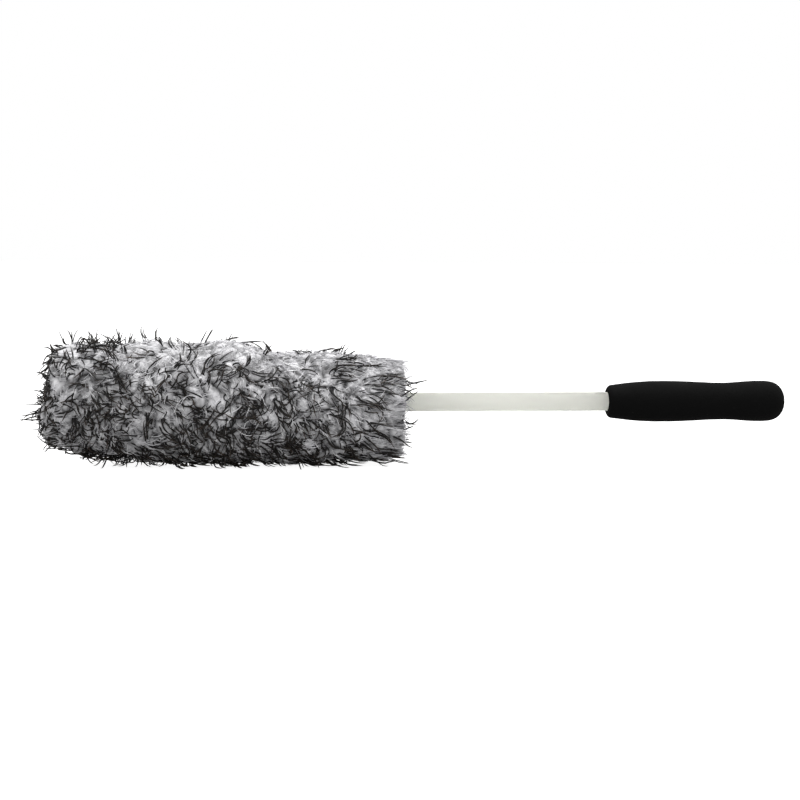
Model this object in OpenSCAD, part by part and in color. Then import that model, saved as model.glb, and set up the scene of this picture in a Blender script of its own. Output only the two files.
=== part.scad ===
// Plush wheel brush: a fur sleeve that pulls off a foam core on a nylon rod, with a foam grip.
// The rod's axis runs along X, with the head towards -X and the grip towards +X. Z is up, and
// z = 0 is the surface that the head lies on, where its pile is pressed flat. Millimetres.

/* [Rod] */
// Diameter of the solid nylon rod
rod_d = 12; // [10:0.5:14]
// Length of rod left bare between the head's pile and the grip
bare_rod = 129.5; // [60:0.5:200]

/* [Grip] */
// Length of the foam grip
grip_len = 116; // [100:1:140]
// Diameter at the front edge
grip_front_d = 20.6; // [18:0.2:24]
// Diameter of the palm swell
grip_swell_d = 26.2; // [24:0.2:32]
// Diameter of the waist behind the swell
grip_waist_d = 23.8; // [20:0.2:28]
// Diameter of the pommel
grip_pommel_d = 26.2; // [24:0.2:32]
// Foam left between the end of the rod and the butt
butt_cushion = 12; // [8:1:25]

/* [Head] */
// Length of the head over its pile
head_len = 230.5; // [150:0.5:300]
// How far the pile is pressed flat where the head lies
pile_press = 1; // [0.5:0.5:4]
// Diameter of the foam core
core_d = 42; // [36:1:50]
// Radius of the edge at the core's blunt tip
core_fillet = 4; // [2:0.5:8]
// Length of the cushion in front of the rod
tip_cushion = 25; // [20:1:40]

/* [Sleeve] */
// Height of the pile above its backing
pile_h = 17.2; // [10:0.2:20]
// Thickness of the knitted backing
backing_t = 1.5; // [1:0.1:2]
// Thickness of the lining
lining_t = 1; // [0.8:0.1:1.5]
// Running gap between sleeve and core
fit_gap = 0.3; // [0.2:0.05:0.6]
// Width of the elasticated hem
hem_w = 9; // [7:0.5:14]
// Thickness of the hem
hem_t = 3; // [2.8:0.1:4]
// Pitch of the seam stitches
stitch_pitch = 3.6; // [3:0.2:6]

/* [Hidden] */
$fn = 64;

rod_r = rod_d / 2;
core_r = core_d / 2;

// Stations along X, with the whole brush centred on the origin
overall = head_len + bare_rod + grip_len;
tip_x = -overall / 2;
head_end = tip_x + head_len;
grip_x = head_end + bare_rod;
butt_x = grip_x + grip_len;

// Layers of the sleeve, as offsets from the core's surface
lining_in = fit_gap;
lining_out = lining_in + lining_t;
backing_out = lining_out + backing_t;
hem_out = lining_in + hem_t;
pile_out = backing_out + pile_h;
core_tip = tip_x + pile_out;
axis_z = core_r + pile_out - pile_press;

// Stations of the open end
fringe = 6.5;
hem_end = head_end - fringe;
hem_start = hem_end - hem_w;
core_base = hem_end - 6;
cushion_base = core_tip + tip_cushion;

// Stations of the rod
cap_wall = 1.5;
rod_front = cushion_base - 11;
rod_back = butt_x - butt_cushion;
rod_chamfer = 0.8;

// Collar behind the core
flange_r = core_r - 1.5;
flange_t = 3;
hub_r = rod_r + 3.5;
hub_len = 5;
rib_count = 6;
rib_t = 2;

// Grip stations, measured from its front edge
swell_at = 33;
swell_end = 40;
waist_at = 75.4;
pommel_at = 99.3;
mouth_round = 3;
// Exponents of the pommel's rounded end: how square its shoulder is, and how blunt its face is
shoulder = 3.5;
face = 2.1;

// Threads
thread_d = 0.5;
stitch_len = 2.6;
stitch_room = 0.9;

// Elastic inside the hem
hem_wall = 0.8;
elastic_slack = 0.1;

arc_steps = 8;
curve_steps = 12;
eps = 0.01;

// Puts a solid whose own axis is Z on the rod's axis, with its z = 0 at x
module on_axis(x = 0) {
    translate([x, 0, axis_z]) rotate([0, 90, 0]) children();
}

// Turns a profile of [radius, x] points about the rod's axis
module turned(profile) {
    on_axis() rotate_extrude() polygon(profile);
}

// A ring between two radii and two stations
module ring(r_in, r_out, x0, x1) {
    turned([[r_in, x0], [r_out, x0], [r_out, x1], [r_in, x1]]);
}

// A point on the head's blunt corner, at an offset from the core: angle 0 faces outwards, 90 faces the tip
function corner(offset, angle) = [
    core_r - core_fillet + (core_fillet + offset) * cos(angle),
    core_tip + core_fillet - (core_fillet + offset) * sin(angle)
];

// The corner's arc at an offset from the core
function corner_arc(offset, from, to) =
    [for (i = [0:arc_steps]) corner(offset, from + (to - from) * i / arc_steps)];

// Half profile of a layer's tube, from its open end to the seam in the middle of the corner
function tube_layer(inner, outer, open_x, seam = 45) = concat(
    [[core_r + inner, open_x], [core_r + outer, open_x]],
    corner_arc(outer, 0, seam),
    corner_arc(inner, seam, 0)
);

// Half profile of a layer's end disc, from the seam to the axis
function disc_layer(inner, outer, seam = 45) = concat(
    corner_arc(outer, seam, 90),
    [[0, core_tip - outer], [0, core_tip - inner]],
    corner_arc(inner, 90, seam)
);

// Radius of the grip at a distance from its front edge
function blend(a, b, t) = a + (b - a) * (1 - cos(180 * t)) / 2;
function grip_r(s) =
    s < swell_at ? (grip_front_d + (grip_swell_d - grip_front_d) * sin(90 * s / swell_at)) / 2 :
    s < swell_end ? grip_swell_d / 2 :
    s < waist_at ? blend(grip_swell_d, grip_waist_d, (s - swell_end) / (waist_at - swell_end)) / 2 :
    s < pommel_at ? blend(grip_waist_d, grip_pommel_d, (s - waist_at) / (pommel_at - waist_at)) / 2 :
    grip_pommel_d / 2 * pow(1 - pow((s - pommel_at) / (grip_len - pommel_at), shoulder), 1 / face);

// One straight stitch lying along X, or across it
module stitch(across = false) {
    rotate(across ? [90, 0, 0] : [0, 90, 0]) cylinder(h = stitch_len, d = thread_d, center = true, $fn = 16);
}

// A ring of stitches that touch a surface of radius r at x
module stitch_ring(r, x) {
    count = floor(2 * PI * r / stitch_pitch);
    for (i = [0:count - 1])
        translate([x, 0, axis_z]) rotate([i * 360 / count, 0, 0])
            translate([0, 0, r + thread_d / 2]) stitch(across = true);
}

module rod() {
    color([0.86, 0.87, 0.82])
        turned([
            [0, rod_front], [rod_r - rod_chamfer, rod_front], [rod_r, rod_front + rod_chamfer],
            [rod_r, rod_back - rod_chamfer], [rod_r - rod_chamfer, rod_back], [0, rod_back]
        ]);
}

// Soft cap that keeps the rod's end from cutting into the foam
module rod_tip_cap() {
    color([0.12, 0.12, 0.13])
        turned([
            [0, rod_front - cap_wall], [rod_r + cap_wall, rod_front - cap_wall],
            [rod_r + cap_wall, cushion_base], [rod_r, cushion_base], [rod_r, rod_front], [0, rod_front]
        ]);
}

module core_foam() {
    color([0.16, 0.16, 0.17]) ring(rod_r, core_r, cushion_base, core_base);
}

// Blunt foam cushion with a pocket for the capped end of the rod
module core_tip_cushion() {
    color([0.2, 0.2, 0.21])
        difference() {
            turned(concat(
                [[0, cushion_base], [core_r, cushion_base]], corner_arc(0, 0, 90), [[0, core_tip]]
            ));
            on_axis(rod_front - cap_wall) cylinder(h = tip_cushion, r = rod_r + cap_wall);
        }
}

// Flange and hub that stop the foam sliding down the rod
module base_collar() {
    color([0.13, 0.13, 0.14])
        difference() {
            union() {
                on_axis(core_base) cylinder(h = flange_t, r = flange_r);
                on_axis(core_base + flange_t) cylinder(h = hub_len, r = hub_r);
                for (i = [0:rib_count - 1])
                    on_axis(core_base + flange_t) rotate([0, 0, i * 360 / rib_count]) collar_rib();
            }
            on_axis(core_base - eps) cylinder(h = flange_t + hub_len + 2 * eps, r = rod_r);
        }
}

module collar_rib() {
    rotate([90, 0, 0]) translate([0, 0, -rib_t / 2]) linear_extrude(rib_t)
        polygon([[rod_r + 1, 0], [flange_r - 2, 0], [hub_r, hub_len - 1], [rod_r + 1, hub_len - 1]]);
}

module grip() {
    front = [for (i = [0:arc_steps]) let (a = 90 * i / arc_steps)
        [grip_r(mouth_round) - mouth_round * (1 - sin(a)), grip_x + mouth_round * (1 - cos(a))]];
    body = [for (i = [1:3 * curve_steps])
        let (s = mouth_round + (pommel_at - mouth_round) * i / (3 * curve_steps)) [grip_r(s), grip_x + s]];
    end = [for (i = [1:curve_steps])
        let (s = pommel_at + (grip_len - pommel_at) * sin(90 * i / curve_steps)) [grip_r(s), grip_x + s]];
    color([0.07, 0.07, 0.07])
        difference() {
            turned(concat([[0, grip_x]], front, body, end));
            on_axis(grip_x - eps) cylinder(h = grip_len - butt_cushion + eps, r = rod_r);
        }
}

// Smooth bag that slides on the core
module sleeve_lining() {
    color([0.3, 0.3, 0.32])
        turned(concat(
            [[core_r + lining_in, hem_start], [core_r + lining_out, hem_start]],
            corner_arc(lining_out, 0, 90),
            [[0, core_tip - lining_out], [0, core_tip - lining_in]],
            corner_arc(lining_in, 90, 0)
        ));
}

// Knitted backing of the tube of pile fabric
module body_panel() {
    color([0.45, 0.45, 0.47]) turned(tube_layer(lining_out, backing_out, hem_start));
}

// Knitted backing of the round end panel
module tip_panel() {
    color([0.5, 0.5, 0.52]) turned(disc_layer(lining_out, backing_out));
}

// Folded tape round the open end, with a tunnel for the elastic
module hem_band() {
    color([0.1, 0.1, 0.11])
        difference() {
            ring(core_r + lining_in, core_r + hem_out, hem_start, hem_end);
            ring(
                core_r + lining_in + hem_wall, core_r + hem_out - hem_wall,
                hem_start + hem_wall, hem_end - hem_wall
            );
        }
}

module hem_elastic() {
    inset = hem_wall + elastic_slack;
    color([0.75, 0.75, 0.75])
        ring(core_r + lining_in + inset, core_r + hem_out - inset, hem_start + inset, hem_end - inset);
}

// Stitches along the body panel's lengthwise seam
module side_seam_thread() {
    first = core_tip + 3 * stitch_len;
    last = hem_start - 2 * stitch_len;
    count = floor((last - first) / stitch_pitch);
    color([0.2, 0.2, 0.2])
        for (i = [0:count])
            translate([first + i * stitch_pitch, core_r + backing_out + thread_d / 2, axis_z]) stitch();
}

// Stitches round the seam between the body panel and the end panel
module tip_seam_thread() {
    seat = corner(backing_out + thread_d / 2, 45);
    color([0.2, 0.2, 0.2]) stitch_ring(seat[0] - thread_d / 2, seat[1]);
}

module hem_stitching() {
    color([0.25, 0.25, 0.26]) {
        stitch_ring(core_r + hem_out, hem_start + 1.4);
        stitch_ring(core_r + hem_out, hem_end - 1.4);
    }
}

// Keeps what stands above the surface, because the pile is pressed flat where the head lies
module above_surface() {
    intersection() {
        children();
        translate([tip_x - 1, -overall / 2, 0]) cube([overall + 2, overall, overall]);
    }
}

// Room for the stitches between backing and pile
module seam_room() {
    translate([core_tip, core_r + backing_out - eps, axis_z - stitch_room])
        cube([hem_start - core_tip, stitch_room + eps, 2 * stitch_room]);
    turned([
        corner(backing_out - eps, 37), corner(backing_out + 2 * stitch_room, 37),
        corner(backing_out + 2 * stitch_room, 53), corner(backing_out - eps, 53)
    ]);
}

// Outer edge of the pile at the open end, where it droops past the hem
function fringe_edge() = let (round = 5, r = core_r + pile_out) concat(
    [[core_r + backing_out, hem_start], [core_r + hem_out + stitch_room, hem_start],
     [core_r + hem_out + stitch_room, hem_end], [core_r + hem_out + 5, head_end]],
    [for (i = [0:arc_steps]) let (a = 90 * i / arc_steps)
        [r - round * (1 - sin(a)), head_end - round * (1 - cos(a))]]
);

module body_pile() {
    color([0.6, 0.61, 0.63])
        above_surface() difference() {
            turned(concat(fringe_edge(), corner_arc(pile_out, 0, 45), corner_arc(backing_out, 45, 0)));
            seam_room();
        }
}

module tip_pile() {
    color([0.65, 0.66, 0.68])
        above_surface() difference() {
            turned(disc_layer(backing_out, pile_out));
            seam_room();
        }
}

rod();
rod_tip_cap();
core_foam();
core_tip_cushion();
base_collar();
grip();
sleeve_lining();
body_panel();
tip_panel();
hem_band();
hem_elastic();
side_seam_thread();
tip_seam_thread();
hem_stitching();
body_pile();
tip_pile();
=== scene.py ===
"""A plush wheel brush: its fur, foam, cloth and materials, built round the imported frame.

The head's fur is real geometry. A closed shell of fleece bulges out of the sleeve's backing, with creases
between the bulges. Fine wisps and grey hairs cover it, and coarse black hairs and a few white ones come out
of the creases and lie over it. Sizes are in millimetres until a mesh is made.
"""

import math
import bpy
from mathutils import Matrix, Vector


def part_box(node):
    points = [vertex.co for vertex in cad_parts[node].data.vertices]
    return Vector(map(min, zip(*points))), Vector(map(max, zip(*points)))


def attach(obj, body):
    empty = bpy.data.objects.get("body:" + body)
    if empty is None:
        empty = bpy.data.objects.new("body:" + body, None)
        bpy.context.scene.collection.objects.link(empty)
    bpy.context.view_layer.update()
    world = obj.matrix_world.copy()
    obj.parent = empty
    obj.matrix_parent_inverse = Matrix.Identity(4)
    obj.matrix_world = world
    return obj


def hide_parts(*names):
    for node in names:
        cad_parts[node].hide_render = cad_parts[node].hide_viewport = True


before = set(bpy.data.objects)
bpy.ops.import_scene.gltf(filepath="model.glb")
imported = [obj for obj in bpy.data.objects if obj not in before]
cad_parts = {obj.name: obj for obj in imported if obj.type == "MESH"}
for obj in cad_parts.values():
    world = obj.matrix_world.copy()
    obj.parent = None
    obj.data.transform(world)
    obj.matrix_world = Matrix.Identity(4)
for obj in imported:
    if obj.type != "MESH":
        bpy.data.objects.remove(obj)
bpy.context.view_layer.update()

from types import SimpleNamespace as Kind

import bpy
import numpy as np
from mathutils import Quaternion, Vector
from mathutils.kdtree import KDTree

MM = 0.001

# The tip seam's angle round the bag's blunt corner, from 0 at its side to 90 at the tip, and half its width
SEAM_AT = 45
SEAM_HALF = 1

# Soft pieces: their gap to what they sit on, and how far inside the CAD's face their uneven face starts
CLOSE_GAP = 0.05
FACE_INSET = 0.1


# ---- the frame's measures


def box_mm(node):
    """Lowest and highest corner of a CAD node, in millimetres."""
    low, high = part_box(node)
    return np.array(low) / MM, np.array(high) / MM


def half_height(node):
    """Radius of a node that is turned about the rod's axis."""
    low, high = box_mm(node)
    return (high[1] - low[1]) / 2


rod_low, rod_high = box_mm("rod")
AXIS_Z = (rod_low[2] + rod_high[2]) / 2
ROD_R = half_height("rod")
CORE_R = half_height("core_foam")
BACKING_R = half_height("body_panel")
BACKING_IN = half_height("sleeve_lining")
FIT_GAP = 0.3
LINING_IN = CORE_R + FIT_GAP
TIP_FACE = box_mm("tip_panel")[0][0]
CORNER_R = (BACKING_R - half_height("tip_panel")) / (1 - math.cos(math.radians(SEAM_AT)))
PILE_ROOT_END = box_mm("body_panel")[1][0]
HEAD_TIP = box_mm("tip_pile")[0][0]
HEAD_END = box_mm("body_pile")[1][0]
CORNER_X = TIP_FACE + CORNER_R
CORNER_IN = BACKING_R - CORNER_R
HEM_START, HEM_END = (corner[0] for corner in box_mm("hem_band"))
HEM_R = half_height("hem_band")
PILE_R = half_height("body_pile")
PILE_H = PILE_R - BACKING_R
GROUND_END = HEAD_END - 2

# Seeds of the fields that all the fur shares: the way it lies, and its thick and thin places
FLOW_SEED = 3
LUMP_SEED = 8

# The fleece's shell: rings along it, points round it, its clearance round the backing, the height over the
# backing at which its bulges are laid out, and the widths of its large and small bulges
RINGS = 285
AROUND = 300
INNER_GAP = 0.1
BULGE_AT = 10
LARGE_BULGE = 12
SMALL_BULGE = 6

# The underside: how softly fur comes down to the surface, and how low a point or a hair's middle may lie
FLOOR_SOFTNESS = 1.8
FLOOR_GAP = 0.15
HAIR_CLEARANCE = 0.35

# Fur. count is how many hairs or wisps, each how many to a lock or wisp, and wide or apart their spread.
# long and thick are their lengths and radii. start and end are their angles from the surface's normal at
# root and tip, and curl is how far they turn. sparse is how bare the fur is of them in general, top how
# much barer it is on top, tip how much fuller at the tip, and crest how much fuller along the tip's upper
# edge. proud is how far they may stand above the fur.
WISPS = Kind(
    count=4400, each=24, wide=1.6, long=(4.5, 8.5), thick=(0.08, 0.13), start=(25, 65), end=(75, 125),
    seed=11
)
BLACK_HAIRS = Kind(
    count=5600, each=2, apart=2.0, long=(11, 23), thick=(0.40, 0.66), start=(35, 75), end=(70, 105),
    curl=1.0, sparse=0.1, top=1.5, tip=1.05, crest=0.9, proud=5.0, seed=41
)
STANDING_HAIRS = Kind(
    count=2200, each=3, apart=1.1, long=(10, 20), thick=(0.34, 0.54), start=(0, 30), end=(25, 80),
    curl=1.0, sparse=0.7, top=0.35, tip=0.2, crest=2.7, proud=20.0, seed=47
)
STRAY_HAIRS = Kind(
    count=260, each=1, apart=0.0, long=(16, 26), thick=(0.42, 0.58), start=(0, 25), end=(10, 70),
    curl=1.0, sparse=4.6, top=0.0, tip=5.5, crest=0.0, proud=31.0, seed=59
)
GREY_HAIRS = Kind(
    count=8000, each=2, apart=0.9, long=(7, 15), thick=(0.12, 0.22), start=(30, 75), end=(65, 105),
    curl=1.2, sparse=-2.5, top=0.0, tip=0.0, crest=0.0, proud=3.0, seed=67
)
WHITE_HAIRS = Kind(
    count=1000, each=2, apart=1.6, long=(9, 18), thick=(0.22, 0.34), start=(30, 70), end=(70, 105),
    curl=1.0, sparse=-0.3, top=0.5, tip=0.0, crest=0.0, proud=3.0, seed=53
)
WISP_TAPER = np.array([0.0, 1.0, 0.9, 0.6, 0.0])
HAIR_TAPER = np.array([0.0, 0.75, 0.95, 1.0, 1.0, 0.9, 0.75, 0.5, 0.0])
WISP_STEPS = len(WISP_TAPER) - 1
HAIR_STEPS = len(HAIR_TAPER) - 1
STRAND_SIDES = 3
MOST_TRIANGLES = 190000

# Half the width of the floor
FLOOR = 9000


# ---- meshes


def mesh_piece(name, points_mm, faces):
    """A smooth mesh from points in millimetres and arrays of faces, one for each number of sides."""
    mesh = bpy.data.meshes.new(name)
    faces = [np.asarray(f, np.int32) for f in faces if len(f)]
    corners = np.concatenate([f.ravel() for f in faces])
    sizes = np.concatenate([np.full(len(f), f.shape[1], np.int32) for f in faces])
    starts = np.concatenate([[0], np.cumsum(sizes)[:-1]]).astype(np.int32)
    mesh.vertices.add(len(points_mm))
    mesh.vertices.foreach_set("co", (np.asarray(points_mm, np.float32) * MM).ravel())
    mesh.loops.add(len(corners))
    mesh.loops.foreach_set("vertex_index", corners)
    mesh.polygons.add(len(sizes))
    mesh.polygons.foreach_set("loop_start", starts)
    mesh.polygons.foreach_set("loop_total", sizes)
    mesh.polygons.foreach_set("use_smooth", np.full(len(sizes), True))
    mesh.update(calc_edges=True)
    piece = bpy.data.objects.new(name, mesh)
    bpy.context.scene.collection.objects.link(piece)
    return piece


def bag_corner(depth, start, stop):
    """The blunt corner of a layer depth inside the backing's face: 0 faces outwards, 90 the tip."""
    turn = np.radians(np.linspace(start, stop, 9))
    reach = CORNER_R - depth
    return list(zip(CORNER_X - reach * np.sin(turn), CORNER_IN + reach * np.cos(turn)))


def finely(profile, step):
    """The profile with points added, so that none are further apart than step."""
    profile = np.asarray(profile, float)
    made = [profile[:1]]
    for a, b in zip(profile[:-1], profile[1:]):
        count = max(1, math.ceil(np.linalg.norm(b - a) / step))
        made.append(a + (b - a) * (np.arange(1, count + 1) / count)[:, None])
    return np.concatenate(made)


def rings_of(profile, around):
    """Rings of points about the rod's axis from a profile of (x, r) points."""
    angle = np.arange(around) * 2 * math.pi / around
    x = np.repeat(profile[:, :1], around, 1)
    return np.stack([x, -np.sin(angle) * profile[:, 1:], np.cos(angle) * profile[:, 1:] + AXIS_Z], -1)


def mesh_of_rings(name, rings, poles=()):
    """A closed skin over rings (k, n, 3): fans close it at two poles, or its last ring meets its first."""
    count, around = rings.shape[:2]
    i = np.arange(around)
    j = (i + 1) % around
    steps = [(a, a + 1) for a in range(count - 1)] + ([] if len(poles) else [(count - 1, 0)])
    quads = np.concatenate([
        np.stack([a * around + i, a * around + j, b * around + j, b * around + i], 1) for a, b in steps
    ])
    points = rings.reshape(-1, 3)
    fans = np.zeros((0, 3), int)
    if len(poles):
        points = np.concatenate([points, poles])
        first, last = count * around, count * around + 1
        far = (count - 1) * around
        fans = np.concatenate([
            np.stack([np.full_like(i, first), j, i], 1),
            np.stack([np.full_like(i, last), far + i, far + j], 1)
        ])
    a, b, c, d = (points[quads[:, n]] for n in range(4))
    if np.sum(a * np.cross(b, c)) + np.sum(a * np.cross(c, d)) < 0:
        quads, fans = quads[:, ::-1], fans[:, ::-1]
    piece = mesh_piece(name, points, [quads, fans])
    ring_map(piece, count, around)
    return piece


def ring_map(piece, count, around):
    """A texture map of a skin over rings: turns round the axis across it, and its rings up it."""
    corner = corner_points(piece)
    pole = corner >= count * around
    column = np.where(pole, 0, corner % around).astype(float)
    row = np.where(pole, (corner - count * around) * (count + 1), corner // around + 1).astype(float)
    polygons = piece.data.polygons
    starts, sizes = np.zeros((2, len(polygons)), np.int32)
    polygons.foreach_get("loop_start", starts)
    polygons.foreach_get("loop_total", sizes)
    face = np.repeat(np.arange(len(sizes)), sizes)
    for values, size in ((column, around), (row, count)):
        highest = np.maximum.reduceat(np.where(pole, 0, values), starts)[face]
        values[(highest - values > size / 2) & ~pole] += size
    middle = np.add.reduceat(np.where(pole, 0, column), starts)[face] / 2
    column = np.where(pole, middle, column)
    add_map(piece, column / around, row / (count + 2))


def corner_points(piece):
    """The point that each corner of each face is at."""
    corner = np.zeros(len(piece.data.loops), np.int32)
    piece.data.loops.foreach_get("vertex_index", corner)
    return corner


def add_map(piece, u, v):
    """The layer that materials are baked to."""
    layer = piece.data.uv_layers.new(name="OFBake")
    layer.data.foreach_set("uv", np.stack([u, v], 1).astype(np.float32).ravel())


def unit(v):
    """Vectors scaled to length one."""
    return v / np.maximum(np.linalg.norm(v, axis=-1, keepdims=True), 1e-9)


def square_to(normals, v):
    """Unit vectors along v, but square to the normals."""
    return unit(v - normals * np.sum(v * normals, -1, keepdims=True))


def strand_mesh(name, paths, radii, side, marks):
    """Closed spindles along paths (n, k, 3): both ends come to a point, and k - 2 rings lie between them.

    side (n, 3) is across each strand, and marks (n, 3) are kept with each strand's points for its material,
    the first of them turned into the share of its length.
    """
    sides = STRAND_SIDES
    n, k, _ = paths.shape
    along = unit(np.gradient(paths, axis=1))
    across = square_to(along, side[:, None, :])
    up = np.cross(along, across)
    angle = (np.arange(sides) * 2 * math.pi / sides)[:, None]
    ring = across[:, 1:-1, None, :] * np.cos(angle) + up[:, 1:-1, None, :] * np.sin(angle)
    rings = paths[:, 1:-1, None, :] + ring * radii[:, 1:-1, None, None]
    points = np.concatenate([paths[:, :1], rings.reshape(n, -1, 3), paths[:, -1:]], 1)
    per = points.shape[1]
    i = np.arange(sides)
    j = (i + 1) % sides
    last = 1 + (k - 3) * sides
    start_fan = np.stack([np.zeros_like(i), 1 + j, 1 + i], 1)
    end_fan = np.stack([np.full_like(i, per - 1), last + i, last + j], 1)
    firsts = 1 + np.arange(k - 3) * sides
    quads = [np.stack([a + i, a + j, a + sides + j, a + sides + i], 1) for a in firsts]
    base = (np.arange(n) * per)[:, None, None]
    triangles = (base + np.concatenate([start_fan, end_fan])[None]).reshape(-1, 3)
    quads = (base + np.concatenate(quads)[None]).reshape(-1, 4)
    piece = mesh_piece(name, points.reshape(-1, 3), [triangles, quads])
    share = np.concatenate([[0.0], np.repeat(np.linspace(0, 1, k)[1:-1], sides), [1.0]])
    kept = np.repeat(marks[:, None, :], per, 1).astype(np.float32)
    kept[:, :, 0] = share
    keep_marks(piece, kept)
    strand_map(piece, n, per, share)
    return piece


def keep_marks(piece, marks):
    """Stores each point's three marks with the mesh, where the materials read them."""
    layer = piece.data.attributes.new("strand", "FLOAT_VECTOR", "POINT")
    layer.data.foreach_set("vector", marks.ravel())


def marks_of(tone, other):
    """Marks of strands or points, with room for the share of the length ahead of the two given."""
    return np.stack([np.zeros_like(tone), tone, other], 1)


def strand_map(piece, n, per, share):
    """A texture map that gives each strand a cell of its own, with its length up the cell."""
    columns = math.ceil(math.sqrt(n))
    rows = math.ceil(n / columns)
    corner = corner_points(piece)
    strand, place = corner // per, corner % per
    turn = np.tile(np.arange(STRAND_SIDES) / (STRAND_SIDES - 1), (per - 2) // STRAND_SIDES)
    turn = np.concatenate([[0.5], turn, [0.5]])[place]
    u = (strand % columns + 0.1 + 0.8 * turn) / columns
    v = (strand // columns + 0.1 + 0.8 * share[place]) / rows
    add_map(piece, u, v)


# ---- where the fur grows


def even_pairs(count, offset):
    """count pairs spread evenly over the unit square, the same ones each time."""
    plastic_number = 1.32471795724474602596
    rates = np.array([1 / plastic_number, 1 / plastic_number**2])
    return (offset + np.arange(1, count + 1)[:, None] * rates) % 1


class Ground:
    """The face that the fur stands on: from the head's open end, over the backing, to the tip's centre."""

    def __init__(self):
        first = GROUND_END - CORNER_X
        second = first + CORNER_R * math.pi / 2
        self.length = second + CORNER_IN
        self.s = np.linspace(0, self.length, 800)
        self.tilt = np.clip((self.s - first) / CORNER_R, 0, math.pi / 2)
        self.x = GROUND_END - np.minimum(self.s, first) - CORNER_R * np.sin(self.tilt)
        self.r = BACKING_R - CORNER_R * (1 - np.cos(self.tilt)) - np.clip(self.s - second, 0, None)
        self.share = np.cumsum(self.r + CORNER_R * np.cos(self.tilt))
        self.share /= self.share[-1]

    def place(self, s, turns):
        """Points and outward normals at distances from the open end and turns round the axis."""
        around = 2 * math.pi * turns
        x, r, tilt = (np.interp(s, self.s, v) for v in (self.x, self.r, self.tilt))
        out = np.stack([np.zeros_like(x), -np.sin(around), np.cos(around)], -1)
        point = out * r[..., None] + np.stack([x, np.zeros_like(x), np.full_like(x, AXIS_Z)], -1)
        normal = out * np.cos(tilt)[..., None]
        normal[..., 0] -= np.sin(tilt)
        return point, normal

    def spread(self, pairs):
        """Pairs from the unit square as distances and turns, evenly over the area."""
        return np.interp(pairs[:, 0], self.share, self.s), pairs[:, 1]


ground = Ground()


def swirl(points, wavelength, seed):
    """A smooth vector field that turns about once in a wavelength."""
    rng = np.random.default_rng(seed)
    waves = 7
    total = np.zeros_like(points)
    for _ in range(waves):
        wave = unit(rng.normal(size=3)) * 2 * math.pi / (wavelength * rng.uniform(0.6, 1.6))
        total += np.sin(points @ wave + rng.uniform(0, 2 * math.pi))[..., None] * rng.normal(size=3)
    return total / math.sqrt(waves)


def lumps(points, wavelength, seed):
    """A smooth value, mostly from -1 to 1, for the fur's thick and thin places."""
    rng = np.random.default_rng(seed)
    waves, spread = 9, 3.2
    total = 0.0
    for _ in range(waves):
        wave = unit(rng.normal(size=3)) * 2 * math.pi / (wavelength * rng.uniform(0.65, 1.5))
        total = total + np.sin(points @ wave + rng.uniform(0, 2 * math.pi))
    return total / spread


def ramp(x, start, end):
    """0 before start, 1 past end, and smooth between."""
    t = np.clip((x - start) / (end - start), 0, 1)
    return t * t * (3 - 2 * t)


def fur_height(points):
    """How high the fur stands above the backing, by place: lower at the open end and under the tip."""
    x = points[..., 0]
    up = points[..., 2] - AXIS_Z
    r = np.maximum(np.hypot(points[..., 1], up), 1e-6)
    # Shares of the pile's height over, under and ahead of the head, by the share of the way to its open end
    share = (x - HEAD_TIP) / (HEAD_END - HEAD_TIP)
    top = 1.06 + 0.16 * ramp(share, 0.15, 0.4)
    top = top - 0.62 * ramp(share, 0.52, 0.66) - 0.45 * ramp(share, 0.80, 1.0)
    lower = 1.16 - 0.68 * (1 - ramp(share, 0.06, 0.36)) - 0.14 * ramp(share, 0.8, 1.0)
    blend = ramp(up / r, -0.2, 0.7)
    ahead = 0.62 + 0.4 * ramp(-up, -10, 8)
    tilt = np.arctan2(np.clip(CORNER_X - x, 0, None), np.maximum(r - CORNER_IN, 0.1))
    face = ramp(tilt, 0.5, 1.3)
    uneven = 1 + 0.14 * lumps(points, 26, LUMP_SEED)
    return PILE_H * ((top * blend + lower * (1 - blend)) * (1 - face) + ahead * face) * uneven


def settle(points, room=0.0, proud=0.0):
    """Fur as it lies: no higher than its place allows, and pressed flat on the surface under the head.

    room is what a strand keeps free below that height, and proud how far it may stand above it in full fur.
    """
    p = points.copy()
    y, z = p[..., 1], p[..., 2] - AXIS_Z
    r = np.maximum(np.hypot(y, z), 1e-6)
    centre_x = np.maximum(p[..., 0], CORNER_X)
    centre_r = np.minimum(r, CORNER_IN)
    off_x, off_r = p[..., 0] - centre_x, r - centre_r
    off = np.maximum(np.hypot(off_x, off_r), 1e-6)
    high = off - CORNER_R
    height = fur_height(p)
    least = 1.5
    most = np.maximum(height - room, least) + proud * height / PILE_H
    scale = np.where(high > 0, (CORNER_R + most * np.tanh(high / most)) / off, 1.0)
    p[..., 0] = centre_x + off_x * scale
    new_r = centre_r + off_r * scale
    p[..., 1], p[..., 2] = y / r * new_r, z / r * new_r + AXIS_Z
    # What overhangs the open end is drawn in
    past_end = np.clip(p[..., 0] - (HEAD_END - 3 - 2 * room), 0, None)
    drawn_in = 0.8 if room else 0.4
    p[..., 0] -= past_end * drawn_in
    return off_floor(p, room + FLOOR_GAP, 0.75)


def off_floor(points, lowest, spread):
    """Fur pressed flat, and outwards by spread, where it would reach below the surface."""
    p = points.copy()
    under = np.clip(lowest + FLOOR_SOFTNESS - p[..., 2], 0, None)
    pressed = lowest + FLOOR_SOFTNESS * np.exp(-under / FLOOR_SOFTNESS)
    p[..., 2] = np.where(under > 0, pressed, p[..., 2])
    furthest = 9
    p[..., 1] += np.sign(p[..., 1]) * np.clip(under, 0, furthest) * spread
    return p


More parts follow.
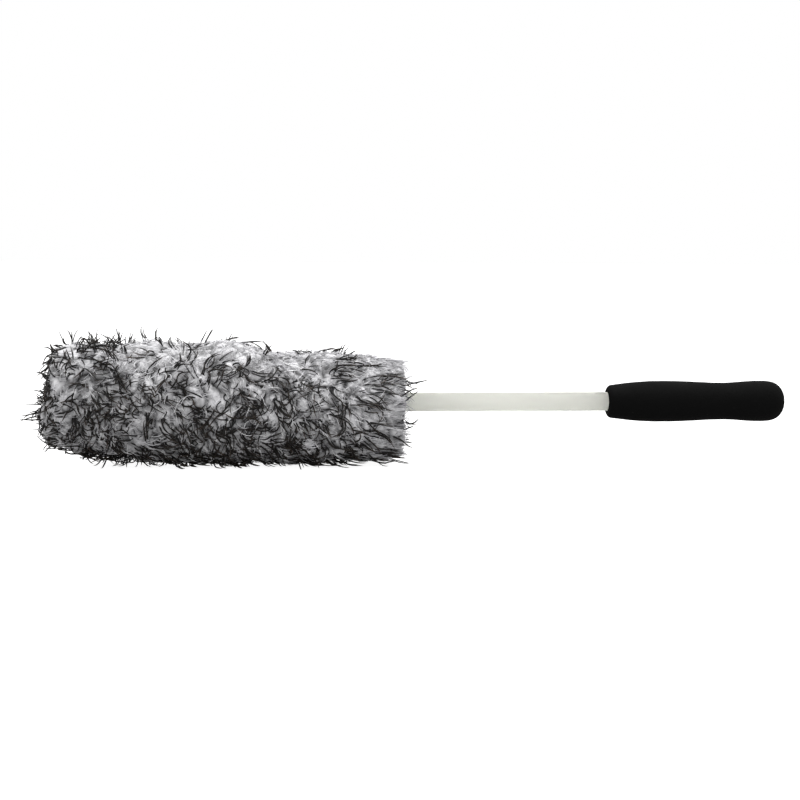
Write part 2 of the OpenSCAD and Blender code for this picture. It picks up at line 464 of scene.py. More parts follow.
def leaning(points, normals, strength, seed):
    """The direction along the ground that fur leans in: towards the open end near it, down at the sides."""
    rng = np.random.default_rng(seed)
    x = points[:, 0]
    up = (points[:, 2] - AXIS_Z) / BACKING_R
    lean = swirl(points, 36, FLOW_SEED) + rng.normal(size=points.shape) * strength
    # Combed to the open end, hanging at the sides, and swept forward round the tip
    lean[:, 0] += 3.2 * ramp(x, GROUND_END - 55, GROUND_END - 15) + 0.25
    lean[:, 2] -= 0.75 * (1 - ramp(up, 0.2, 0.9))
    lean[:, 0] -= 0.7 * ramp(-x, -TIP_FACE - 25, -TIP_FACE)
    return square_to(normals, lean)


def grown(roots, normals, leans, length, start, end, curl, steps, wave=0.0):
    """Curves that leave the ground near its normal and bend over into their lean.

    The lean itself turns by curl along the way, and swings from side to side by wave.
    """
    t = ((np.arange(steps) + 0.5) / steps)[None, :]
    bend = start[:, None] + (end - start)[:, None] * t
    turn = curl[:, None] * t + np.multiply.outer(np.zeros(len(roots)) + wave, np.sin(2 * math.pi * t[0]))
    side = np.cross(normals, leans)
    flat = leans[:, None] * np.cos(turn)[..., None] + side[:, None] * np.sin(turn)[..., None]
    heading = normals[:, None] * np.cos(bend)[..., None] + flat * np.sin(bend)[..., None]
    walk = np.cumsum(heading * (length / steps)[:, None, None], 1)
    return np.concatenate([roots[:, None], roots[:, None] + walk], 1), side


# ---- fur


def tree_of(points):
    """A tree that finds the nearest of the points."""
    tree = KDTree(len(points))
    for number, point in enumerate(points):
        tree.insert(point, number)
    tree.balance()
    return tree


def bulges(points, size, seed):
    """1 on the crown of each bulge and 0 in the creases, for bulges of about this size."""
    rng = np.random.default_rng(seed)
    area = 2 * math.pi * PILE_R * (HEAD_END - HEAD_TIP)
    count = int(area / size**2)
    crowns, normals = ground.place(*ground.spread(even_pairs(count, rng.random())))
    # Crowns are a little scattered, and the creases between them wander
    crowns = crowns + normals * BULGE_AT + rng.normal(0, size * 0.22, crowns.shape)
    tree = tree_of(crowns)
    bent = (points + swirl(points, size * 1.6, seed) * size * 0.12).reshape(-1, 3)
    near = np.array([[found[2] for found in tree.find_n(point, 2)] for point in bent])
    crease = np.clip((near[:, 1] - near[:, 0]) / size, 0, 1)
    return np.sqrt(crease).reshape(points.shape[:-1])


class Fleece:
    """The soft outer face of the fleece: bulges of two sizes with creases between them."""

    def __init__(self):
        self.s = np.linspace(0, ground.length - 1, RINGS)
        turns = np.arange(AROUND) / AROUND
        roots, normals = ground.place(*np.meshgrid(self.s, turns, indexing="ij"))
        middle = roots + normals * BULGE_AT
        # Creases are shallower on top, so the painted crease shade that follows the crown values is fainter
        # there too
        smoother = 0.22 * ramp((roots[..., 2] - AXIS_Z) / BACKING_R, 0.5, 0.9)
        faces = bulges(middle, LARGE_BULGE, 5), bulges(middle, SMALL_BULGE, 6)
        large, small = (face + (0.8 - face) * smoother for face in faces)
        # crown is 1 on the bulges and 0 in the creases: it places hair, and it also sets the painted crease
        # shade of the fleece, wisps and grey hairs
        self.crown = np.clip(0.75 * large + 0.25 * small, 0, 1)
        # The face lies at 0.78 of the fur's height, and its bulges and creases are 5.5 and 1.8 deep
        height = fur_height(roots) * 0.78 + 5.5 * (large - 0.55) + 1.8 * (small - 0.5)
        height = np.maximum(height + 0.25 * lumps(middle, 3.2, 9), 1.0)
        # It is rounded off over the last 13 at the open end
        from_end = np.clip((self.s[:, None] - 1.5 + 1.5 * lumps(middle, 14, 12)) / 13, 0, 1)
        height = 1.5 + (height - 1.5) * np.sqrt(1 - (1 - from_end) ** 2)
        self.points = settle(roots + normals * height[..., None], 0.4)
        along = np.gradient(self.points, axis=0)
        wrapped = np.concatenate([self.points[:, -1:], self.points, self.points[:, :1]], 1)
        self.normals = unit(np.cross(along, wrapped[:, 2:] - wrapped[:, :-2]))
        if np.mean(np.sum(self.normals * normals, -1)) < 0:
            self.normals = -self.normals
        self.tree = tree_of(self.points.reshape(-1, 3))

    def laid_on(self, lines, clear):
        """Lines lifted clear of the face past their roots, wherever they would sink into it."""
        near = np.array([self.tree.find(point)[1] for point in lines.reshape(-1, 3)])
        normal = self.normals.reshape(-1, 3)[near].reshape(lines.shape)
        face = self.points.reshape(-1, 3)[near].reshape(lines.shape)
        lift = np.clip(clear - np.sum((lines - face) * normal, -1), 0, None)
        lift[:, 1:-1] = np.maximum(lift[:, 1:-1], (lift[:, :-2] + lift[:, 2:]) / 2)
        for _ in range(2):
            lift[:, 1:-1] = (lift[:, :-2] + 2 * lift[:, 1:-1] + lift[:, 2:]) / 4
        lift *= ramp(np.linspace(0, 1, lines.shape[1]), 0, 0.3)
        return lines + unit(normal + 2 * normal.mean(1, keepdims=True)) * lift[..., None]

    def at(self, pairs):
        """Points, outward normals and crown values on the face, spread evenly over it."""
        s, turns = ground.spread(pairs)
        row = np.clip(s / self.s[-1], 0, 0.9999) * (RINGS - 1)
        column = (turns % 1) * AROUND
        i, j = row.astype(int), column.astype(int)
        u, v = row - i, column - j
        j, k = j % AROUND, (j + 1) % AROUND
        corners = ((i, j, (1 - u) * (1 - v)), (i + 1, j, u * (1 - v)),
                   (i, k, (1 - u) * v), (i + 1, k, u * v))
        point = sum(self.points[a, b] * w[:, None] for a, b, w in corners)
        normal = sum(self.normals[a, b] * w[:, None] for a, b, w in corners)
        crown = sum(self.crown[a, b] * w for a, b, w in corners)
        return point, unit(normal), crown


def fleece_skin(fleece):
    """The fleece as one closed shell round the sleeve's backing and hem."""
    over_hem = HEM_R + 1
    inner = [(TIP_FACE - INNER_GAP, 1.0)] + bag_corner(-INNER_GAP, 90, 0)
    inner += [(PILE_ROOT_END, BACKING_R + INNER_GAP), (PILE_ROOT_END + 0.5, over_hem)]
    inner += [(GROUND_END - 2, over_hem)]
    rings = np.concatenate([rings_of(finely(inner, 9), AROUND), fleece.points])
    poles = [[TIP_FACE - INNER_GAP, 0, AXIS_Z], list(fleece.points[-1].mean(0))]
    piece = mesh_of_rings("fleece", rings, poles)
    # The hidden inner rings take crown 0, and so the darkest painted crease shade
    hidden = np.zeros((len(rings) - RINGS) * AROUND)
    at_poles = [0.0, 0.5]
    crown = np.concatenate([hidden, fleece.crown.ravel(), at_poles])
    keep_marks(piece, marks_of(crown, crown).astype(np.float32))
    return piece


def combed(rng, angles, near_end, to):
    """Random angles within a range of degrees, which give way to one angle near the open end."""
    return np.radians(rng.uniform(*angles, len(near_end))) * (1 - near_end) + np.radians(to) * near_end


def wisp_lines(fleece, kind):
    """Fine hairs in wisps: those of one wisp start side by side and come together towards its tip."""
    rng = np.random.default_rng(kind.seed)
    wisps, each = kind.count, kind.each
    roots, normals, crown = fleece.at(even_pairs(wisps, rng.random()))
    near_end = ramp(roots[:, 0], GROUND_END - 30, GROUND_END - 4)
    leans = leaning(roots, normals, 0.35, kind.seed)
    leans = leans + swirl(roots, 9, kind.seed) * (1 - near_end)[:, None]
    leans = square_to(normals, leans)
    length = rng.uniform(*kind.long, wisps)
    start = combed(rng, kind.start, near_end, 50)
    end = combed(rng, kind.end, near_end, 92)
    curl = rng.normal(0, 1.2, wisps) * (1 - 0.7 * near_end)
    lines, side = grown(roots - normals * 0.4, normals, leans, length, start, end, curl, WISP_STEPS)
    of = np.repeat(np.arange(wisps), each)
    n = len(of)
    angle, out = rng.uniform(0, 2 * math.pi, n), np.sqrt(rng.random(n)) * kind.wide
    offset = side[of] * (np.cos(angle) * out)[:, None]
    offset += np.cross(normals[of], side[of]) * (np.sin(angle) * out)[:, None]
    t = np.linspace(0, 1, WISP_STEPS + 1)[None, :, None]
    own = rng.normal(0, 0.35, (n, 1, 3)) * t
    reach = rng.uniform(0.75, 1.1, n)[:, None, None]
    foot = lines[of][:, :1]
    hairs = foot + (lines[of] - foot) * reach + offset[:, None] * (1 - 0.7 * t) + own
    tone = np.clip(rng.random(wisps)[of] + rng.normal(0, 0.12, n), 0, 1)
    thick = rng.uniform(*kind.thick, n)[:, None] * WISP_TAPER
    return settle(hairs, 0.15, 3.0), side[of], thick, marks_of(tone, crown[of])


def plenty(kind, roots, crown, near_end):
    """How readily a kind of hair grows at each root, above 0 where it does but for chance.

    It grows in clumps and out of the creases. There is less of it at the open end and on top, above all
    past the middle of the head.
    """
    from_tip = roots[:, 0] - HEAD_TIP
    up = roots[:, 2] - AXIS_Z
    on_top = ramp(up / np.hypot(roots[:, 1], up), 0.5, 0.85)
    at_tip = 1 - ramp(from_tip, 8, 45)
    crest = on_top * ramp(from_tip, -1, 7) * (1 - ramp(from_tip, 50, 64))
    dense = 0.85 * lumps(roots, 14, kind.seed) + (0.6 - crown) * 2.0
    dense += kind.crest * crest + kind.tip * at_tip
    bare = 0.7 + 0.5 * ramp(from_tip, 110, 150) - 0.6 * ramp(from_tip, 160, 185)
    return dense - kind.sparse - kind.top * on_top * (1 - at_tip) * bare - 1.2 * near_end


def hair_lines(fleece, kind):
    """Coarse hairs in loose locks, which come out of the creases and curve over the face of the fleece."""
    rng = np.random.default_rng(kind.seed)
    locks = kind.count // kind.each
    pairs = even_pairs(locks, rng.random())
    roots, normals, crown = fleece.at(pairs)
    normals = unit(normals + 1.5 * ground.place(*ground.spread(pairs))[1])
    near_end = ramp(roots[:, 0], GROUND_END - 40, GROUND_END - 8)
    grows = plenty(kind, roots, crown, near_end) + rng.normal(0, 0.6, locks) > 0
    roots, normals, crown, near_end = (each[grows] for each in (roots, normals, crown, near_end))
    locks = len(roots)
    leans = leaning(roots, normals, 0.4, kind.seed)
    length = rng.uniform(*kind.long, locks)
    start = combed(rng, kind.start, near_end, 60)
    end = combed(rng, kind.end, near_end, 90)
    curl = rng.normal(0, kind.curl, locks) * (1 - 0.8 * near_end)
    wave = rng.normal(0, 0.35, locks) * (1 - 0.6 * near_end)
    # The hairs of a lock stand side by side, each a little different
    of = np.repeat(np.arange(locks), kind.each)
    n = len(of)
    place_in_lock = np.tile(np.arange(kind.each), locks) - (kind.each - 1) / 2
    beside = place_in_lock * rng.uniform(0.6, 1.5, n)
    moved = roots[of] + np.cross(normals[of], leans[of]) * (beside * kind.apart)[:, None]
    moved += leans[of] * rng.normal(0, 1.6, (n, 1)) - normals[of]
    turned = unit(leans[of] + 0.25 * rng.normal(size=(n, 3)))
    turned = square_to(normals[of], turned)
    length = length[of] * rng.uniform(0.65, 1.1, n)
    start = start[of] + rng.normal(0, 0.18, n)
    end = end[of] + rng.normal(0, 0.18, n)
    curl = curl[of] + rng.normal(0, 0.2, n)
    lines, side = grown(moved, normals[of], turned, length, start, end, curl, HAIR_STEPS, wave[of])
    thick = rng.uniform(*kind.thick, n)[:, None] * HAIR_TAPER
    tone = rng.random(n)
    lines = fleece.laid_on(settle(lines, 0.0, kind.proud), HAIR_CLEARANCE)
    lines = off_floor(lines, kind.thick[1], 0.1)
    return lines, side, thick, marks_of(tone, crown[of])


def strands_as_pieces(name, paths, radii, side, marks, look):
    """The strands as pieces that ride on the sleeve and share a material, none with too many triangles."""
    triangles_each = 2 * STRAND_SIDES * (paths.shape[1] - 2)
    parts = math.ceil(len(paths) * triangles_each / MOST_TRIANGLES)
    edges = np.linspace(0, len(paths), parts + 1).astype(int)
    made = []
    for number, part in enumerate(slice(a, b) for a, b in zip(edges[:-1], edges[1:])):
        piece = strand_mesh(f"{name}_{number + 1}", paths[part], radii[part], side[part], marks[part])
        piece.data.materials.append(look)
        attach(piece, "sleeve")
        made.append(piece)
    return made


# ---- materials


class Look:
    """A material on one Principled shader, whose nodes are added one at a time."""

    def __init__(self, name, **values):
        self.material = bpy.data.materials.new(name)
        self.material.use_nodes = True
        self.tree = self.material.node_tree
        self.shader = self.tree.nodes["Principled BSDF"]
        for key, value in values.items():
            self.shader.inputs[key.replace("_", " ")].default_value = value

    def node(self, kind, inputs=None, **settings):
        """A node, with its settings and its inputs: a value, or the socket that feeds it."""
        made = self.tree.nodes.new("ShaderNode" + kind)
        for key, value in settings.items():
            setattr(made, key, value)
        for key, value in (inputs or {}).items():
            if isinstance(value, bpy.types.NodeSocket):
                self.tree.links.new(value, made.inputs[key])
            else:
                made.inputs[key].default_value = value
        return made

    def feed(self, socket, source):
        """Links a node's output to a socket of the shader."""
        self.tree.links.new(source, self.shader.inputs[socket])

    def place(self, scale=(1, 1, 1)):
        """The object's own coordinates in metres, stretched by scale."""
        at = self.node("TexCoord").outputs["Object"]
        return self.node("Mapping", {"Vector": at, "Scale": scale}).outputs["Vector"]

    def noise(self, scale, detail=4, rough=0.55, at=None):
        """Cloudy noise, scale to the metre."""
        inputs = {"Scale": scale, "Detail": detail, "Roughness": rough, "Vector": at or self.place()}
        return self.node("TexNoise", inputs).outputs["Fac"]

    def ramp(self, value, *stops):
        """Colours along a value: stops are (place, colour)."""
        made = self.node("ValToRGB", {"Fac": value})
        elements = made.color_ramp.elements
        while len(elements) < len(stops):
            elements.new(0.5)
        for element, (place, colour) in zip(elements, stops):
            element.position = place
            element.color = (*colour, 1)
        return made.outputs["Color"]

    def maths(self, operation, a, b=0.0):
        """One step of arithmetic on values or sockets."""
        return self.node("Math", {0: a, 1: b}, operation=operation).outputs[0]

    def mix(self, a, b, share=1.0, blend="MULTIPLY"):
        """Colour a with b blended into it by share."""
        first, second, result = 6, 7, 2
        inputs = {"Factor": share, first: a, second: b}
        return self.node("Mix", inputs, data_type="RGBA", blend_type=blend).outputs[result]

    def bump(self, height, distance, strength=1.0):
        """Relief of the surface, distance deep in metres."""
        made = self.node("Bump", {"Height": height, "Distance": distance, "Strength": strength})
        self.feed("Normal", made.outputs["Normal"])


def grey(value, warmth=0.0):
    """A grey, with more red and less blue by warmth."""
    return (value * (1 + warmth), value, value * (1 - warmth))


def strand_sockets(look):
    """The marks that strands keep: share of the length, tone and crown."""
    at = look.node("Attribute", attribute_name="strand").outputs["Vector"]
    split = look.node("SeparateXYZ", {"Vector": at})
    return split.outputs["X"], split.outputs["Y"], split.outputs["Z"]


def fleece_look():
    """The felted mass of the fleece: pale on its crowns, dark in its creases by painted shade, and mottled
    by its fibres.
    """
    look = Look("grey_fleece", Roughness=0.95, Specular_IOR_Level=0.1,
                Sheen_Weight=0.2, Sheen_Roughness=0.6)
    _, crown, _ = strand_sockets(look)
    fibres = look.noise(420, 8, 0.78)
    # Painted crease shade: darker from the crowns into the creases, for the shadow there and partly for the
    # dark roots of black hair
    shade = look.ramp(crown, (0.18, grey(0.012)), (0.42, grey(0.3)), (0.64, grey(0.6)))
    mottle = look.ramp(fibres, (0.35, (0.76, 0.755, 0.775)), (0.62, (1.0, 0.992, 1.015)))
    look.feed("Base Color", look.mix(shade, mottle))
    look.bump(fibres, 0.0009)
    return look.material


def strand_look(name, length, tints, deep=None, **values):
    """Hair coloured along its length and tinted by its tone. With deep, painted crease shade darkens it
    where it grows out of a crease.
    """
    look = Look(name, **values)
    share, tone, crown = strand_sockets(look)
    shade = look.mix(look.ramp(share, *length), look.ramp(tone, *tints))
    # Painted crease shade, by the crown value where the strand grows
    if deep:
        shade = look.mix(shade, look.ramp(crown, *deep))
    look.feed("Base Color", shade)
    return look.material


def wisp_look():
    """Fine grey fibre, each wisp a little lighter or darker."""
    length = (0.0, grey(0.5)), (0.5, grey(0.7)), (1.0, grey(0.76))
    tints = (0.0, (0.78, 0.775, 0.8)), (0.5, (0.9, 0.893, 0.915)), (1.0, (0.94, 0.933, 0.955))
    # Painted crease shade: wisps that grow out of a crease are darkened
    deep = (0.15, grey(0.05)), (0.56, grey(1.0))
    return strand_look("grey_wisps", length, tints, deep, Roughness=0.95, Specular_IOR_Level=0.15,
                       Sheen_Weight=0.25, Sheen_Roughness=0.6)


def hair_look():
    """Coarse near-black hair, browner and a little paler towards the tip of some."""
    length = (0.0, grey(0.004)), (0.6, grey(0.008, 0.15)), (1.0, grey(0.024, 0.3))
    tints = (0.0, (0.7, 0.7, 0.7)), (0.8, (1.0, 0.97, 0.95)), (1.0, (1.9, 1.6, 1.5))
    return strand_look("black_hair", length, tints, Roughness=0.5, Specular_IOR_Level=0.24)


def grey_hair_look():
    """Grey hairs of the fleece, some pale and some dark."""
    length = (0.0, grey(0.4)), (0.5, grey(0.82)), (1.0, grey(0.9))
    tints = (0.0, (0.3, 0.297, 0.31)), (0.3, (0.8, 0.793, 0.82)), (1.0, (1.0, 0.99, 1.015))
    # Painted crease shade: grey hairs that grow out of a crease are darkened
    deep = (0.12, grey(0.1)), (0.6, grey(1.0))
    return strand_look("grey_hair", length, tints, deep, Roughness=0.7, Specular_IOR_Level=0.25)


def white_hair_look():
    """White hair, a little darker at its root."""
    length = (0.0, grey(0.45)), (1.0, grey(0.9))
    tints = (0.0, (0.8, 0.8, 0.82)), (1.0, (1.0, 1.0, 1.0))
    return strand_look("white_hair", length, tints, Roughness=0.45, Specular_IOR_Level=0.5)


def nylon_look():
    """Milky nylon rod: slightly greenish white, with faint clouding and fine draw lines along it."""
    look = Look("nylon", Roughness=0.65, IOR=1.53, Specular_IOR_Level=0.04, Subsurface_Weight=1.0,
                Subsurface_Scale=0.3)
    look.shader.subsurface_method = "BURLEY"
    look.shader.inputs["Subsurface Radius"].default_value = (1.0, 1.0, 1.0)
    cloud = look.noise(38, 3, 0.5, look.place((0.3, 1, 1)))
    look.feed("Base Color", look.ramp(cloud, (0.3, (0.87, 0.873, 0.8)), (0.7, (0.9, 0.903, 0.825))))
    lines = look.noise(700, 4, 0.6, look.place((0.02, 1, 1)))
    look.bump(lines, 0.00006, 0.5)
    look.feed("Roughness", look.ramp(lines, (0.3, grey(0.58)), (0.7, grey(0.72))))
    return look.material


def foam_look(name, tone, pore_mm, pore_depth):
    """Closed-cell foam: matt, with fine open pores where the skin is cut, painted shade in the pores, and
    faint scuffs.
    """
    look = Look(name, Roughness=0.9, Specular_IOR_Level=0.06)
    cells = look.node("TexVoronoi", {"Vector": look.place(), "Scale": 1000 / pore_mm, "Randomness": 1.0})
    pore = look.ramp(cells.outputs["Distance"], (0.1, grey(0.0)), (0.38, grey(1.0)))
    cloud = look.noise(60, 5, 0.6)
    scuff = look.noise(210, 6, 0.7, look.place((0.35, 1, 1)))
    scuff = look.ramp(scuff, (0.62, grey(1.0)), (0.78, grey(1.9)))
    shade = look.ramp(cloud, (0.3, grey(tone * 0.8)), (0.7, grey(tone * 1.25)))
    shade = look.mix(shade, scuff)
    # Painted shade in the pores: the colour darkens towards each pore's middle
    depth = look.ramp(pore, (0.0, grey(0.6)), (1.0, grey(1.0)))
    look.feed("Base Color", look.mix(shade, depth))
    look.feed("Roughness", look.ramp(cloud, (0.3, grey(0.82)), (0.7, grey(0.98))))
    look.bump(look.maths("ADD", pore, look.maths("MULTIPLY", cloud, 0.8)), pore_depth)
    return look.material


def cloth_look(name, tone, ribs_per_mm):
    """Woven or knitted cloth: fine ribs along the axis, crossed by broader ones round it, and mottled."""
    look = Look(name, Roughness=0.92, Specular_IOR_Level=0.2, Sheen_Weight=0.2, Sheen_Roughness=0.5)
    split = look.node("SeparateXYZ", {"Vector": look.place()})
    up = look.maths("SUBTRACT", split.outputs["Z"], AXIS_Z * MM)
    around = look.maths("ARCTAN2", split.outputs["Y"], up)
    ribs_round = float(round(2 * math.pi * CORE_R * ribs_per_mm))
    warp = look.maths("SINE", look.maths("MULTIPLY", split.outputs["X"], ribs_per_mm / MM))
    weft = look.maths("SINE", look.maths("MULTIPLY", around, ribs_round))
    weave = look.maths("MULTIPLY", warp, weft)
    shade = look.ramp(look.noise(120, 4), (0.3, grey(tone * 0.85)), (0.7, grey(tone * 1.15)))
    ribs = look.ramp(weave, (0.0, grey(tone * 0.5)), (1.0, grey(tone * 1.2)))
    look.feed("Base Color", look.mix(shade, ribs, 0.5, "MIX"))
    look.bump(weave, 0.0002)
    return look.material


def moulded_look(name, tone):
    """Moulded plastic with a fine spark-eroded texture."""
    look = Look(name, Roughness=0.55, Specular_IOR_Level=0.4)
    grain = look.noise(1800, 3, 0.6)
    cloud = look.noise(90, 4)
    look.feed("Base Color", look.ramp(cloud, (0.3, grey(tone * 0.85)), (0.7, grey(tone * 1.15))))
    look.feed("Roughness", look.ramp(grain, (0.3, grey(0.45)), (0.7, grey(0.65))))
    look.bump(grain, 0.00006)
    return look.material


def thread_look(name, tone):
    """Twisted sewing thread."""
    look = Look(name, Roughness=0.6, Specular_IOR_Level=0.4)
    inputs = {"Vector": look.place(), "Scale": 900, "Distortion": 1.5}
    twist = look.node("TexWave", inputs, bands_direction="DIAGONAL").outputs["Fac"]
    look.feed("Base Color", look.ramp(twist, (0.0, grey(tone * 0.6)), (1.0, grey(tone * 1.4))))
    look.bump(twist, 0.0001)
    return look.material


def dress(node, look):
    """Gives a CAD node that stays its material."""
    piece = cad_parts[node]
    piece.data.materials.clear()
    piece.data.materials.append(look)


# ---- making the fur


def make_fur():
    """The fleece and every kind of strand, all riding on the sleeve."""
    fleece = Fleece()
    skin = fleece_skin(fleece)
    skin.data.materials.append(fleece_look())
    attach(skin, "sleeve")
    made = [skin]
    black = hair_look()
    for name, kind, look, lines_of in (
        ("wisps", WISPS, wisp_look(), wisp_lines),
        ("grey_hairs", GREY_HAIRS, grey_hair_look(), hair_lines),
        ("black_hairs", BLACK_HAIRS, black, hair_lines),
        ("black_standing", STANDING_HAIRS, black, hair_lines),
        ("black_strays", STRAY_HAIRS, black, hair_lines),
        ("white_hairs", WHITE_HAIRS, white_hair_look(), hair_lines),
    ):
        lines, side, thick, marks = lines_of(fleece, kind)
        made += strands_as_pieces(name, lines, thick, side, marks, look)
    return made


# ---- foam and cloth


def turned_piece(name, profile, look, body, uneven=0.0, wavelength=12, around=120, step=1.6):
    """A soft piece turned about the rod's axis and a little uneven, which takes over its CAD node's place.

    The profile's (x, r) points run from the axis to the axis, or round in a loop that stays clear of it.
    """
    capped = profile[0][1] == 0
    fine = finely(profile if capped else [*profile, profile[0]], step)[:None if capped else -1]
    rings = rings_of(fine[1:-1] if capped else fine, around)
    out = rings - [0, 0, AXIS_Z]
    out[..., 0] = 0
    rings = rings + unit(out) * (lumps(rings, wavelength, LUMP_SEED) * uneven)[..., None]
    poles = [[fine[0][0], 0, AXIS_Z], [fine[-1][0], 0, AXIS_Z]] if capped else ()
    piece = mesh_of_rings(name, rings, poles)
    piece.data.materials.append(look)
    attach(piece, body)
    return piece


def outer_profile(node, hollow_r):
    """(x, r) points of a turned CAD node's outer face, from its lowest x to its highest."""
    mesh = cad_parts[node].data
    points = np.zeros(len(mesh.vertices) * 3)
    mesh.vertices.foreach_get("co", points)
    x, y, z = points.reshape(-1, 3).T / MM
    r = np.hypot(y, z - AXIS_Z)
    outer = (np.abs(r - hollow_r) > 0.05) & (r > 0.05)
    places = np.unique(np.round(x[outer], 2))
    return [(place, r[outer & (np.abs(x - place) < 0.01)].max()) for place in places]


def make_foam():
    """The core with its cushion and the grip, cut and moulded from foam."""
    start, end = (corner[0] for corner in box_mm("core_foam"))
    bore = ROD_R + CLOSE_GAP
    edge = 0.6
    face = CORE_R - FACE_INSET
    core = turned_piece("foam_core", [
        (start, bore), (start, CORE_R - edge), (start + edge, face),
        (end - edge, face), (end, CORE_R - edge), (end, bore)
    ], foam_look("core_foam", 0.03, 0.9, 0.0003), "brush", 0.08, 9)
    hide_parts("core_foam")

    cap_r = half_height("rod_tip_cap")
    pocket = cap_r + CLOSE_GAP
    cap_front = box_mm("rod_tip_cap")[0][0]
    outer = [(x, r - FACE_INSET) for x, r in outer_profile("core_tip_cushion", cap_r)]
    cushion = turned_piece("tip_cushion", [
        (outer[0][0], 0), *outer, (outer[-1][0], pocket), (cap_front, pocket), (cap_front, 0)
    ], foam_look("cushion_foam", 0.045, 0.9, 0.0003), "brush", 0.08, 9)
    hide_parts("core_tip_cushion")

    outer = outer_profile("grip", ROD_R)
    grip = turned_piece("foam_grip", [
        (rod_high[0], 0), (rod_high[0], bore), (outer[0][0], bore), *outer[:-1], (outer[-1][0], 0)
    ], foam_look("grip_foam", 0.0022, 0.45, 0.00008), "brush", 0.03, 7, around=160, step=1.0)
    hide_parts("grip")


def make_cloth():
    """The sleeve's lining, its knitted backing and its hem."""
    backing_t = BACKING_R - BACKING_IN
    lining_t = BACKING_IN - LINING_IN
    far = TIP_FACE + backing_t

    lining = turned_piece("lining_bag", [
        (far, 0), *bag_corner(backing_t, 90, 0),
        (PILE_ROOT_END, BACKING_IN - CLOSE_GAP), (PILE_ROOT_END, LINING_IN),
        *bag_corner(backing_t + lining_t, 0, 90), (far + lining_t, 0)
    ], cloth_look("lining_cloth", 0.08, 2.2), "sleeve", 0.06, 16)
    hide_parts("sleeve_lining")

    panel = turned_piece("pile_backing", [
        (PILE_ROOT_END, BACKING_IN), (PILE_ROOT_END, BACKING_R),
        *bag_corner(0, 0, SEAM_AT - SEAM_HALF), *bag_corner(backing_t, SEAM_AT - SEAM_HALF, 0)
    ], cloth_look("knit_backing", 0.25, 1.2), "sleeve", 0.04, 11)
    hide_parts("body_panel")

    disc = turned_piece("tip_backing", [
        (TIP_FACE, 0), *bag_corner(0, 90, SEAM_AT + SEAM_HALF),
        *bag_corner(backing_t, SEAM_AT + SEAM_HALF, 90), (far, 0)
    ], cloth_look("knit_backing_tip", 0.25, 1.2), "sleeve", 0.04, 11)
    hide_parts("tip_panel")

    fold = 0.8
    middle, half = (HEM_R + LINING_IN) / 2, (HEM_R - LINING_IN) / 2
    tunnel = half - fold
    bend = HEM_END - half
    turns = np.radians(np.linspace(90, -90, 9))
    outside = [(bend + half * math.cos(t), middle + half * math.sin(t)) for t in turns]
    inside = [(bend + tunnel * math.cos(t), middle + tunnel * math.sin(t)) for t in turns[::-1]]
    hem = turned_piece("hem_tape", [
        (HEM_START, HEM_R), *outside, (HEM_START, LINING_IN), (HEM_START, LINING_IN + fold),
        *inside, (HEM_START, HEM_R - fold)
    ], cloth_look("hem_tape", 0.015, 1.6), "sleeve", around=192, step=1.0)
    pucker(hem)
    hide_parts("hem_band")

    start, end = (corner[0] for corner in box_mm("hem_elastic"))
    fold_room = 0.9
    end -= fold_room
    inner_r, outer_r = middle - tunnel + FACE_INSET, middle + tunnel - FACE_INSET
    elastic = turned_piece("hem_elastic_band", [
        (start, inner_r), (start, outer_r), (end, outer_r), (end, inner_r)
    ], cloth_look("elastic", 0.55, 1.0), "sleeve", around=160, step=0.7)
    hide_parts("hem_elastic")


def pucker(hem):
    """Gathers the outer face of the hem into small folds, where the elastic draws it in."""
    points = np.zeros(len(hem.data.vertices) * 3)
    hem.data.vertices.foreach_get("co", points)
    points = points.reshape(-1, 3)
    y, z = points[:, 1], points[:, 2] - AXIS_Z * MM
    r, around = np.hypot(y, z), np.arctan2(z, y)
    across = np.clip((r / MM - LINING_IN) / (HEM_R - LINING_IN), 0, 1)
    gathers, deep = 48, 0.35
    folds = 0.5 + 0.5 * np.sin(gathers * around + 2 * np.sin(5 * around))
    new_r = r - deep * MM * folds * across
    points[:, 1], points[:, 2] = y / r * new_r, z / r * new_r + AXIS_Z * MM
    hem.data.vertices.foreach_set("co", points.ravel())
    hem.data.update()


# ---- stage


def make_world(seen, light):
    """A plain white surround: seen is its brightness in the picture, light what it adds to the object."""
    world = bpy.data.worlds.new("studio")
    world.use_nodes = True
    tree = world.node_tree
    path = tree.nodes.new("ShaderNodeLightPath")
    level = tree.nodes.new("ShaderNodeMapRange")
    tree.links.new(path.outputs["Is Camera Ray"], level.inputs["Value"])
    level.inputs["To Min"].default_value, level.inputs["To Max"].default_value = light, seen
    tree.links.new(level.outputs[0], tree.nodes["Background"].inputs["Strength"])
    tree.nodes["Background"].inputs["Color"].default_value = (1, 1, 1, 1)
    return world


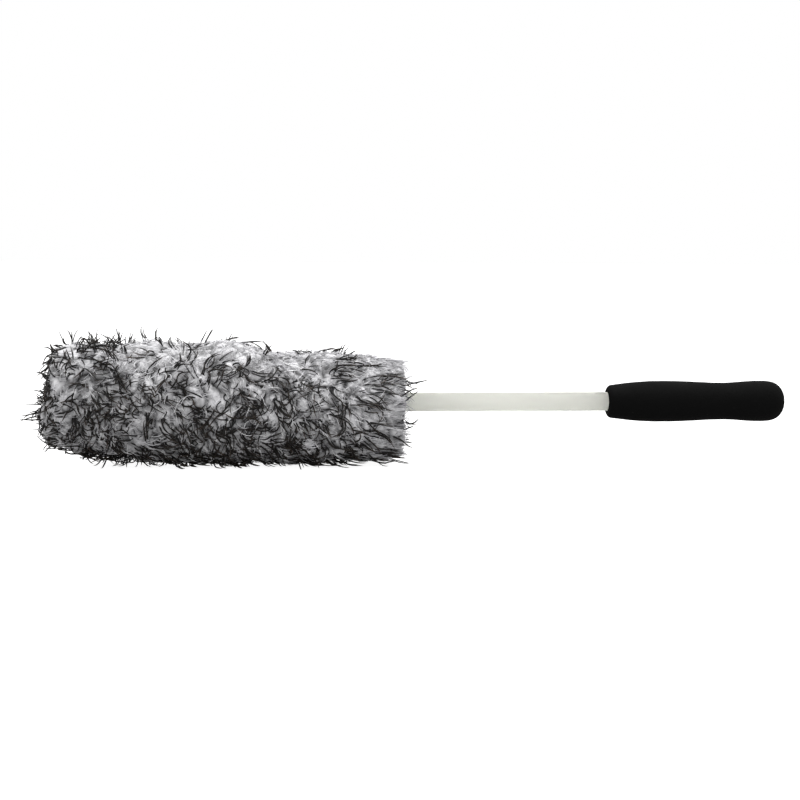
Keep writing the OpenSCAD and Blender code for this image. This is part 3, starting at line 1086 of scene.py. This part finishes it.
def soft_light(name, energy, width, turn):
    """A large distant light, width degrees across, turned from straight above by turn."""
    light = bpy.data.lights.new(name, "SUN")
    light.energy = energy
    light.angle = math.radians(width)
    lamp = bpy.data.objects.new(name, light)
    lamp.rotation_euler = [math.radians(angle) for angle in turn]
    bpy.context.scene.collection.objects.link(lamp)


def make_stage():
    """A pale floor that sends up little light, and soft light from above and in front."""
    scene = bpy.context.scene
    corners = [[x, y, 0] for x, y in ((-FLOOR, -FLOOR), (FLOOR, -FLOOR), (FLOOR, FLOOR), (-FLOOR, FLOOR))]
    floor = mesh_piece("floor", corners, [[[0, 1, 2, 3]]])
    look = Look("pale_floor", Roughness=0.9, Specular_IOR_Level=0.1)
    look.shader.inputs["Base Color"].default_value = (0.35, 0.35, 0.35, 1)
    look.shader.inputs["Emission Color"].default_value = (1, 1, 1, 1)
    seen = look.node("LightPath").outputs["Is Camera Ray"]
    look.feed("Emission Strength", look.maths("MULTIPLY", seen, 0.93))
    floor.data.materials.append(look.material)
    scene.world = make_world(1.0, 0.74)
    soft_light("overhead", 4.2, 45, (-14, 8, 0))
    soft_light("front", 1.75, 80, (66, 0, 12))
    scene.view_settings.view_transform = "Standard"


def make_camera():
    """A camera at the photograph's angle: from the brush's side, a little from above."""
    camera = bpy.data.cameras.new("camera")
    camera.sensor_width = 36
    camera.lens = 67.5
    distance = 0.951
    azimuth, elevation, roll = (math.radians(angle) for angle in (-5, 6, 0.35))
    target = Vector((-0.0113, 0, AXIS_Z * MM + 0.0013))
    level = math.cos(elevation)
    back = Vector((math.sin(azimuth) * level, -math.cos(azimuth) * level, math.sin(elevation)))
    eye = bpy.data.objects.new("camera", camera)
    eye.location = target + back * distance
    eye.rotation_mode = "QUATERNION"
    eye.rotation_quaternion = Quaternion(back, roll) @ (-back).to_track_quat("-Z", "Y")
    bpy.context.scene.collection.objects.link(eye)
    bpy.context.scene.camera = eye


make_camera()
make_stage()
fur = make_fur()
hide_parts("body_pile", "tip_pile")

make_foam()
make_cloth()
dress("rod", nylon_look())
dress("rod_tip_cap", moulded_look("cap_rubber", 0.02))
dress("base_collar", moulded_look("collar_plastic", 0.015))
thread = thread_look("thread", 0.03)
for node in ("side_seam_thread", "tip_seam_thread", "hem_stitching"):
    dress(node, thread)
